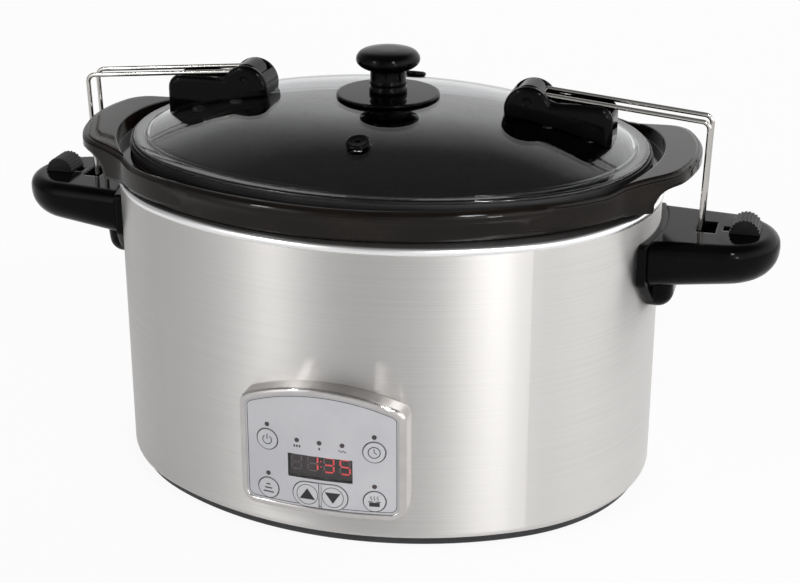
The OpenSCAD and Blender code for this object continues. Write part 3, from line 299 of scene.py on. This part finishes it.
for name in ("start_stop", "mode", "delay", "timer", "up", "down"):
    LOOKS[name + "_button"] = button_silver
for name, obj in nodes.items():
    obj.data.materials.clear()
    obj.data.materials.append(LOOKS[name])


# ---------------------------------------------------------------- mesh helpers
def add_object(name, bm, material=None):
    """Turns a bmesh into an object of the scene, and frees it."""
    mesh = bpy.data.meshes.new(name)
    bm.to_mesh(mesh)
    bm.free()
    if material:
        mesh.materials.append(material)
    obj = bpy.data.objects.new(name, mesh)
    bpy.context.scene.collection.objects.link(obj)
    return obj


def add_smooth(name, bm, material):
    """The same for a form without edges."""
    bmesh.ops.recalc_face_normals(bm, faces=bm.faces)
    for face in bm.faces:
        face.smooth = True
    return add_object(name, bm, material)


def apply_modifiers(obj):
    """Gives the object the mesh that its modifiers make, and takes them off."""
    bpy.context.view_layer.update()
    done = bpy.data.meshes.new_from_object(obj.evaluated_get(bpy.context.evaluated_depsgraph_get()))
    obj.modifiers.clear()
    bare = obj.data
    obj.data = done
    bpy.data.meshes.remove(bare)


def bridge(bm, rings):
    """Faces from each ring of vertices to the next; a ring of one vertex is a pole."""
    for one, two in zip(rings, rings[1:]):
        turns = max(len(one), len(two))
        for i in range(turns):
            j = (i + 1) % turns
            corners = one[i % len(one)], two[i % len(two)], two[j % len(two)], one[j % len(one)]
            bm.faces.new(list(dict.fromkeys(corners)))


# ---------------------------------------------------------------- smooth skins of the moulded pieces
MERGE = 0.000002    # vertices of the CAD facets nearer than this, in metres, are one


def skin(name, body, limit=30):
    """The CAD piece again, its facets shaded as one surface; edges over the limit, in degrees, stay crisp."""
    source = nodes[name].data
    bare = bpy.data.meshes.new("bare")
    bare.from_pydata([v.co[:] for v in source.vertices], [], [list(f.vertices) for f in source.polygons])
    bm = bmesh.new()
    bm.from_mesh(bare)
    bpy.data.meshes.remove(bare)
    bmesh.ops.remove_doubles(bm, verts=bm.verts, dist=MERGE)
    for face in bm.faces:
        face.smooth = True
    for edge in bm.edges:
        edge.smooth = len(edge.link_faces) == 2 and edge.calc_face_angle(0) < math.radians(limit)
    obj = add_object(name + "_skin", bm, LOOKS[name])
    obj.modifiers.new("weighted", "WEIGHTED_NORMAL").keep_sharp = True
    apply_modifiers(obj)
    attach(obj, body)
    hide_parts(name)


for side in SIDES:
    skin(side + "_handle", "base")
    skin(side + "_handle_bracket", "base")
    skin(side + "_lid_bracket", "lid")
    skin(side + "_bail_drum", side + "_bail")
skin("knob_plate", "lid")
skin("crock", "crock", 34)
skin("lid_gasket", "lid")
skin("panel_frame", "base")

# ---------------------------------------------------------------- lid knob
plate_low, plate_high = box_mm("knob_plate")
knob_high = box_mm("lid_knob")[1]
KNOB_FOOT, CAP_TOP, CAP_R = plate_high.z, knob_high.z, knob_high.x
KNOB_TURNS = 96         # points round the knob
# From the screw hole out and up to the middle of the cap: the radius, the height over the plate and, where it
# differs from the usual one, the size of the rounded corner.
KNOB_PROFILE = (
    (2.6, 0.1), (12.2, 0.03), (12.2, 3.4), (11.4, 3.7), (11.4, 5.8), (12.0, 6.1), (12.0, 7.4), (11.5, 7.7),
    (11.4, 15.7, 1.2), (16.2, 16.1, 3.0), (CAP_R - 0.1, 19.4, 3.2), (CAP_R, 23.4, 3.0), (17.6, 27.0, 3.2),
    (9.5, CAP_TOP - KNOB_FOOT - 0.1, 5.0), (0, CAP_TOP - KNOB_FOOT),
)


def round_corners(points, usual=0.3, steps=4):
    """A profile with its corners rounded by short curves; a point's third value is its own size of corner."""
    profile = [points[0][:2]]
    for before, point, after in zip(points, points[1:], points[2:]):
        size = point[2] if len(point) > 2 else usual
        here, a, b = Vector(point[:2]), Vector(before[:2]), Vector(after[:2])
        start = here + (a - here).normalized() * min(size, (a - here).length * 0.45)
        end = here + (b - here).normalized() * min(size, (b - here).length * 0.45)
        for k in range(steps + 1):
            t = k / steps
            profile.append(tuple(start * (1 - t) ** 2 + here * 2 * t * (1 - t) + end * t ** 2))
    return profile + [points[-1][:2]]


def lathe(name, profile, foot, material):
    """A smooth turned piece of a profile of radii and heights over its foot."""
    bm = bmesh.new()
    rings = []
    for r, up in profile:
        turns = KNOB_TURNS if r else 1
        angles = [2 * math.pi * i / turns for i in range(turns)]
        points = [Vector((r * math.cos(t), r * math.sin(t), foot + up)) * MM for t in angles]
        rings.append([bm.verts.new(p) for p in points])
    bridge(bm, rings)
    return add_smooth(name, bm, material)


knob = lathe("lid_knob_turned", round_corners(KNOB_PROFILE), KNOB_FOOT, gloss_black)
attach(knob, "lid")
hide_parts("lid_knob")

# ---------------------------------------------------------------- lid glass
glass_low, glass_high = box_mm("lid_glass")
CROWN = plate_low.z                 # the knob's plate lies on the crown of the glass
GLASS_T = 4.0
FLANGE_W = 10.0                     # flat rim round the dome
DOME_FOOT = glass_low.z + 6.0       # height of the top of the glass where the dome meets the rim
DOME_POWER = 2.7                    # 2 makes a plain bowl, more makes it flatter on top
DOME_A, DOME_B = glass_high.x - FLANGE_W, glass_high.y - FLANGE_W
DOME_STEPS = 30
# From the foot of the dome: the soft step down to the rim and its rounded edge, then the underside. Each pair
# is the distance outward and the height over the underside of the rim.
RIM_TOP = ((0.4, 5.75), (0.9, 5.0), (1.4, 4.35), (2.2, 4.02), (3.2, 4.0), (8.2, 4.0), (8.9, 3.93), (9.5, 3.6),
           (9.88, 3.1), (10.0, 2.6))
RIM_UNDER = ((1.0, 0.4), (3.0, 0.0), (8.6, 0.0), (9.4, 0.3), (9.85, 0.8), (10.0, 1.4))


def oval_ring(a, b, z, steps=40):
    """Points round an oval of half length a and half width b.

    It has four arcs, whose centres lie on right triangles with sides of 28, 45 and 53 units.
    """
    unit = (a - b) / 20
    along, across = 28 * unit, 45 * unit
    joint = math.atan2(45, 28)
    ring = []
    for cx, cy, r, start, end in ((along, 0, a - along, -joint, joint),
                                  (0, -across, b + across, joint, math.pi - joint),
                                  (-along, 0, a - along, math.pi - joint, math.pi + joint),
                                  (0, across, b + across, math.pi + joint, 2 * math.pi - joint)):
        for i in range(steps):
            t = start + (end - start) * i / steps
            ring.append(Vector((cx + r * math.cos(t), cy + r * math.sin(t), z)) * MM)
    return ring


def dome_z(share):
    """Height of the top of the dome at a share of the way from its crown to its foot."""
    return DOME_FOOT + (CROWN - DOME_FOOT) * (1 - share ** DOME_POWER)


def dome_lean(share):
    """Slope of the dome there, along its short way."""
    return math.atan((CROWN - DOME_FOOT) * DOME_POWER * share ** (DOME_POWER - 1) / DOME_B)


def lid_sheet():
    """The whole lid glass, in even rings from the crown out, round the edge and back under."""
    foot = oval_ring(DOME_A, DOME_B, 0)
    top, under = [], []
    for i in range(1, DOME_STEPS + 1):
        share = i / DOME_STEPS
        top.append([Vector((p.x * share, p.y * share, dome_z(share) * MM)) for p in foot])
        under.append([Vector((p.x, p.y, p.z - GLASS_T * MM)) for p in top[-1]])
    top += [oval_ring(DOME_A + out, DOME_B + out, glass_low.z + up) for out, up in RIM_TOP]
    under += [oval_ring(DOME_A + out, DOME_B + out, glass_low.z + up) for out, up in RIM_UNDER]
    poles = [[Vector((0, 0, z * MM))] for z in (CROWN, CROWN - GLASS_T)]
    bm = bmesh.new()
    bridge(bm, [[bm.verts.new(p) for p in ring] for ring in poles[:1] + top + under[::-1] + poles[1:]])
    return add_smooth("lid_dome", bm, lid_glass)


def drill(obj, holes):
    """Cuts round holes; each is its place, its lean about X and its diameter."""
    bm = bmesh.new()
    for place, lean, diameter in holes:
        r = diameter / 2 * MM
        bit = bmesh.ops.create_cone(bm, cap_ends=True, segments=48, radius1=r, radius2=r, depth=30 * MM)
        bmesh.ops.rotate(bm, verts=bit["verts"], cent=(0, 0, 0), matrix=Matrix.Rotation(lean, 3, "X"))
        bmesh.ops.translate(bm, verts=bit["verts"], vec=Vector(place) * MM)
    cutter = add_object("cutter", bm)
    holes_cut = obj.modifiers.new("holes", "BOOLEAN")
    holes_cut.operation, holes_cut.solver, holes_cut.object = "DIFFERENCE", "EXACT", cutter
    apply_modifiers(obj)
    mesh = cutter.data
    bpy.data.objects.remove(cutter)
    bpy.data.meshes.remove(mesh)


KNOB_BORE = 7.0
VENT_X, VENT_Y, VENT_BORE = 4.0, 80.0, 9.0
SCREW_XS, SCREW_BORE = (104, 130), 5.0      # under the lid brackets

dome = lid_sheet()
vent = VENT_Y / DOME_B
lid_holes = [((0, 0, CROWN), 0, KNOB_BORE)]
lid_holes += [((s * VENT_X, -s * VENT_Y, dome_z(vent)), s * dome_lean(vent), VENT_BORE) for s in (1, -1)]
lid_holes += [((s * x, 0, dome_z(x / DOME_A)), 0, SCREW_BORE) for s in (-1, 1) for x in SCREW_XS]
drill(dome, lid_holes)
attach(dome, "lid")
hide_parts("lid_glass")

# ---------------------------------------------------------------- places on the control panel
ARC_CENTRE_Y = 82.8     # centre of the front arc of the housing
BUTTON_RISE = 0.5       # how far the buttons stand out of the face
PRINT_LIFT = 0.03       # how far a print lies over what it is printed on
face_r = ARC_CENTRE_Y - box_mm("panel_face")[0].y
display_y = box_mm("display_module")[0].y


def on_arc(x, z, rise):
    r = face_r + rise
    return Vector((x, ARC_CENTRE_Y - math.sqrt(r * r - x * x), z)) * MM


def on_face(x, z):
    return on_arc(x, z, PRINT_LIFT)


def on_button(x, z):
    return on_arc(x, z, BUTTON_RISE + PRINT_LIFT)


def on_display(x, z):
    return Vector((x, display_y - PRINT_LIFT, z)) * MM


def print_sheet(name, polygons, place, body, material=ink):
    """Thin printed shapes; every polygon is a list of points across and up the front, laid on by place."""
    bm = bmesh.new()
    for polygon in polygons:
        bm.faces.new([bm.verts.new(place(x, z)) for x, z in polygon])
    bmesh.ops.recalc_face_normals(bm, faces=bm.faces)
    if sum(face.normal.y * face.calc_area() for face in bm.faces) > 0:
        bmesh.ops.reverse_faces(bm, faces=bm.faces)
    obj = add_object(name, bm, material)
    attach(obj, body)


# ---------------------------------------------------------------- shapes of the prints
LINE = 0.42     # width of the thin lines


def disc(cx, cz, r, sides=12):
    return arc(cx, cz, r, 0, 360, sides)[:-1]


def arc(cx, cz, r, start, end, steps=24):
    angles = [math.radians(start + (end - start) * i / steps) for i in range(steps + 1)]
    return [(cx + r * math.cos(t), cz + r * math.sin(t)) for t in angles]


def stroke(points, width, closed=False):
    """A line of even width through the points, as a row of quads."""
    n = len(points)
    left, right = [], []
    for i, (x, z) in enumerate(points):
        a = points[(i - 1) % n] if closed or i > 0 else points[i]
        b = points[(i + 1) % n] if closed or i < n - 1 else points[i]
        dx, dz = b[0] - a[0], b[1] - a[1]
        d = math.hypot(dx, dz) or 1
        nx, nz = -dz / d * width / 2, dx / d * width / 2
        left.append((x + nx, z + nz))
        right.append((x - nx, z - nz))
    pairs = [(i, (i + 1) % n) for i in range(n if closed else n - 1)]
    return [[left[i], left[j], right[j], right[i]] for i, j in pairs]


def bar(cx, cz, w, h):
    left, right, low, high = cx - w / 2, cx + w / 2, cz - h / 2, cz + h / 2
    return [(left, low), (right, low), (right, high), (left, high)]


def circle(cx, cz, r, width=LINE):
    return stroke(arc(cx, cz, r, 0, 360, 48)[:-1], width, True)


def power_mark(x, z):
    return stroke(arc(x, z - 0.2, 2.9, 125, 415), 0.6) + [bar(x, z + 1.9, 0.65, 3.4)]


def levels_mark(x, z):
    return [bar(x, z + up, width, 0.9) for up, width in ((2.6, 2.8), (0, 4.9), (-2.6, 7.0))]


def clock_mark(x, z):
    hands = stroke([(x, z + 2.4), (x, z)], 0.55) + stroke([(x, z), (x + 1.7, z - 1.0)], 0.55)
    return circle(x, z, 3.6, 0.6) + hands


def pot_mark(x, z):
    """A pot with three curls of steam."""
    shapes = [bar(x, z - 2.0, 6.4, 2.8), bar(x, z - 0.1, 7.6, 0.55)]
    for dx in (-2, 0, 2):
        shapes += stroke([(x + dx + 0.4 * math.sin(t * 0.9), z + 0.9 + t * 0.36) for t in range(9)], LINE)
    return shapes


def arrow_mark(x, z, up, base=10.0, height=7.4, strips=10):
    """A triangle in upright strips, so that it follows the curve of its button."""
    foot = z - 3.2 * up

    def corners(share):
        across = x - base / 2 + base * share
        return (across, foot), (across, foot + up * height * (1 - abs(2 * share - 1)))

    shapes = []
    for i in range(strips):
        (low_a, high_a), (low_b, high_b) = corners(i / strips), corners((i + 1) / strips)
        shapes.append(list(dict.fromkeys((low_a, low_b, high_b, high_a))))
    return shapes


# ---------------------------------------------------------------- prints of the panel
FRAME_TOP = 112.0
ARCH_R = 117.0          # arch of the top of the panel
LINE_INSET, LINE_CORNER = 5.4, 4.2
LAMP_X, LAMP_MARK_Z = 14.3, 72.6
ROUND_LINE_R = 7.05     # line round a round button
ARROW_X = 8.1           # middle of an arrow, from the middle of the panel
PAIR_X, PAIR_LINE_R = 9.0, 8.62     # ends of the line round the two arrow buttons


def border_line():
    """The line inside the edge of the face, arched at the top."""
    frame_low, frame_high = box_mm("panel_frame")
    half = frame_high.x - LINE_INSET
    low = frame_low.z + LINE_INSET
    arch_z = FRAME_TOP - ARCH_R
    cx = half - LINE_CORNER
    # the circle of the upper corners touches the side and the arch
    cz = arch_z + math.sqrt((ARCH_R - LINE_INSET - LINE_CORNER) ** 2 - cx ** 2)
    lean = math.degrees(math.atan2(cz - arch_z, cx))
    points = arc(cx, low + LINE_CORNER, LINE_CORNER, -90, 0, 8)
    points += arc(cx, cz, LINE_CORNER, 0, lean, 8)
    points += arc(0, arch_z, ARCH_R - LINE_INSET, lean, 180 - lean, 40)
    points += arc(-cx, cz, LINE_CORNER, 180 - lean, 180, 8)
    points += arc(-cx, low + LINE_CORNER, LINE_CORNER, 180, 270, 8)
    points += [(-cx + 2 * cx * i / 20, low) for i in range(1, 20)]
    # two arcs that meet leave the same point twice
    return [p for p, before in zip(points, points[-1:] + points) if math.dist(p, before) > 0.02]


def pair_line(z):
    """The line round both arrow buttons, with points enough on the straight sides to follow the face."""
    side = [PAIR_X - 3 * i for i in range(1, 6)]
    points = arc(PAIR_X, z, PAIR_LINE_R, -90, 90) + [(x, z + PAIR_LINE_R) for x in side]
    return points + arc(-PAIR_X, z, PAIR_LINE_R, 90, 270) + [(-x, z - PAIR_LINE_R) for x in side]


print_sheet("face_border", stroke(border_line(), LINE, True), on_face, "base")

# Under the three mode lamps: three bars, one bar, a wave
lamp_marks = [bar(-LAMP_X + dx, LAMP_MARK_Z, 1.0, 1.6) for dx in (-1.7, 0, 1.7)]
lamp_marks.append(bar(0, LAMP_MARK_Z, 1.0, 1.6))
wave = [(LAMP_X - 2.4 + t * 0.35, LAMP_MARK_Z + 0.6 * math.sin(t * 0.9)) for t in range(15)]
lamp_marks += stroke(wave, 0.45)
print_sheet("mode_marks", lamp_marks, on_face, "base")

round_marks = {"start_stop": power_mark, "mode": levels_mark, "delay": clock_mark, "timer": pot_mark}
outlines = []
for name, mark in round_marks.items():
    x, z = centre_mm(name + "_button")
    print_sheet(name + "_mark", mark(x, z), on_button, name)
    outlines += circle(x, z, ROUND_LINE_R)

arrow_z = centre_mm("up_button")[1]
for name, side, up in (("up", -1, 1), ("down", 1, -1)):
    arrow = circle(side * ARROW_X, arrow_z, 6.7) + arrow_mark(side * ARROW_X, arrow_z, up)
    print_sheet(name + "_arrow", arrow, on_button, "arrow_" + name)
outlines += stroke(pair_line(arrow_z), LINE, True)
print_sheet("button_outlines", outlines, on_face, "base")

# ---------------------------------------------------------------- digits
DIGIT_H, DIGIT_W, PITCH = 9.6, 6, 10.2
BAR, GAP = 1.0, 0.2
DIGIT_RISE = 1.8        # the digits sit this far over the middle of the window
digit_z = centre_mm("display_window")[1] + DIGIT_RISE


def segments(place, lit):
    """Bars of the digit at a place from 0 to 3, by their usual letters from a to g."""
    cx = (place - 1.5) * PITCH
    flat, upright = DIGIT_W - BAR - GAP, DIGIT_H / 2 - BAR - GAP
    bars = {}
    for key, row in (("a", 1), ("g", 0), ("d", -1)):
        bars[key] = bar(cx, digit_z + row * DIGIT_H / 2, flat, BAR)
    for key, sx, sz in (("f", -1, 1), ("b", 1, 1), ("e", -1, -1), ("c", 1, -1)):
        bars[key] = bar(cx + sx * DIGIT_W / 2, digit_z + sz * DIGIT_H / 4, BAR, upright)
    return [shape for key, shape in bars.items() if key in lit]


# The display reads 1:35
lit_bars = segments(1, "bc") + segments(2, "abgcd") + segments(3, "afgcd")
lit_bars += [disc(0, digit_z + 1.8, 0.5), disc(0, digit_z - 1.8, 0.5)]
print_sheet("lit_digits", lit_bars, on_display, "base", red_glow)
unlit_bars = segments(0, "abcdefg") + segments(1, "adefg") + segments(2, "ef") + segments(3, "be")
print_sheet("unlit_digits", unlit_bars, on_display, "base", unlit_bar)


# ---------------------------------------------------------------- floor
GLOW_SEEN, GLOW_REFLECTED = 0.92, 0.25      # share of plain white that the camera and reflections get


def floor_look():
    """Pale floor: it glows for the camera and less in reflections, and still takes the object's shadow."""
    look = Look("pale_floor")
    look.set(Base_Color=(0.86, 0.86, 0.86, 1), Roughness=0.9, Specular_IOR_Level=0.1)
    path = look.node("ShaderNodeLightPath").outputs
    bounced = look.math("MAXIMUM", path["Is Glossy Ray"], path["Is Transmission Ray"])
    reflected = look.math("MULTIPLY", bounced, GLOW_REFLECTED)
    seen = look.math("MULTIPLY", path["Is Camera Ray"], GLOW_SEEN)
    mix = look.node("ShaderNodeMixShader")
    look.link(look.math("MAXIMUM", reflected, seen), mix.inputs[0])
    look.link(look.shader.outputs[0], mix.inputs[1])
    look.link(look.node("ShaderNodeEmission", Strength=1.0).outputs[0], mix.inputs[2])
    look.link(mix.outputs[0], look.tree.nodes["Material Output"].inputs["Surface"])
    return look.material


floor_bm = bmesh.new()
bmesh.ops.create_circle(floor_bm, cap_ends=True, radius=6.0, segments=64)
floor = add_object("floor", floor_bm, floor_look())
floor.location = (0, 0, -0.2 * MM)      # just under the feet

# ---------------------------------------------------------------- studio walls and ceiling
# Brightness of the walls round the object by compass direction, in degrees: soft boxes and grey flags
WALLS = ((-180, 0.36), (-170, 0.34), (-161, 0.53), (-148, 0.75), (-138, 1.35), (-126, 2.4), (-118, 1.75),
         (-108, 0.6), (-96, 0.38), (-84, 0.6), (-73, 0.78), (-64, 1.2), (-54, 2.0), (-44, 1.75), (-34, 1.7),
         (-20, 2.0), (-5, 2.2), (10, 2.0), (30, 1.7), (50, 1.6), (70, 1.35), (85, 1.15), (110, 0.95),
         (128, 0.75), (150, 0.5), (165, 0.4), (180, 0.36))
CEILING = 0.16
CEILING_FADE = (0.45, 0.8)      # the walls turn into the ceiling between these heights on a unit sphere

world = bpy.data.worlds.new("studio")
bpy.context.scene.world = world
world.use_nodes = True
studio = Nodes(world.node_tree)
way = studio.node("ShaderNodeSeparateXYZ")
studio.link(studio.node("ShaderNodeTexCoord").outputs["Generated"], way.inputs[0])
compass = studio.span(studio.math("ARCTAN2", way.outputs["Y"], way.outputs["X"]), start=(-math.pi, math.pi))
walls = studio.ramp(compass, [((degrees + 180) / 360, grey(value)) for degrees, value in WALLS], "EASE")
room = studio.mix(studio.span(way.outputs["Z"], start=CEILING_FADE), walls, grey(CEILING))
# The camera itself sees plain white
shown = studio.mix(studio.node("ShaderNodeLightPath").outputs["Is Camera Ray"], room, grey(1))
background = studio.tree.nodes["Background"]
background.inputs["Strength"].default_value = 1.0
studio.link(shown, background.inputs["Color"])


# ---------------------------------------------------------------- lamps
AIM = Vector((0, 0, 0.13))      # middle of the object, in metres


def area_light(name, azimuth, elevation, distance, size, power):
    """A soft box turned to the object; angles in degrees, distance and size in metres, power in watts."""
    data = bpy.data.lights.new(name, "AREA")
    data.shape = "RECTANGLE"
    data.size, data.size_y = size
    data.energy = power
    lamp = bpy.data.objects.new(name, data)
    a, e = math.radians(azimuth), math.radians(elevation)
    towards = Vector((math.cos(a) * math.cos(e), math.sin(a) * math.cos(e), math.sin(e)))
    lamp.location = AIM + towards * distance
    lamp.rotation_mode = "QUATERNION"
    lamp.rotation_quaternion = (-towards).to_track_quat("-Z", "Y")
    bpy.context.scene.collection.objects.link(lamp)
    return lamp


area_light("key", -52, 42, 2.2, (0.2, 0.28), 10)
area_light("window", -48, 12, 2.0, (0.14, 0.2), 3)
area_light("fill", -130, 35, 2.4, (0.2, 0.28), 6)
rear = area_light("rear", 95, 38, 2.4, (1.4, 0.6), 9)
# It would show as a white sheet in the lid
rear.visible_glossy = False
rear.visible_transmission = False
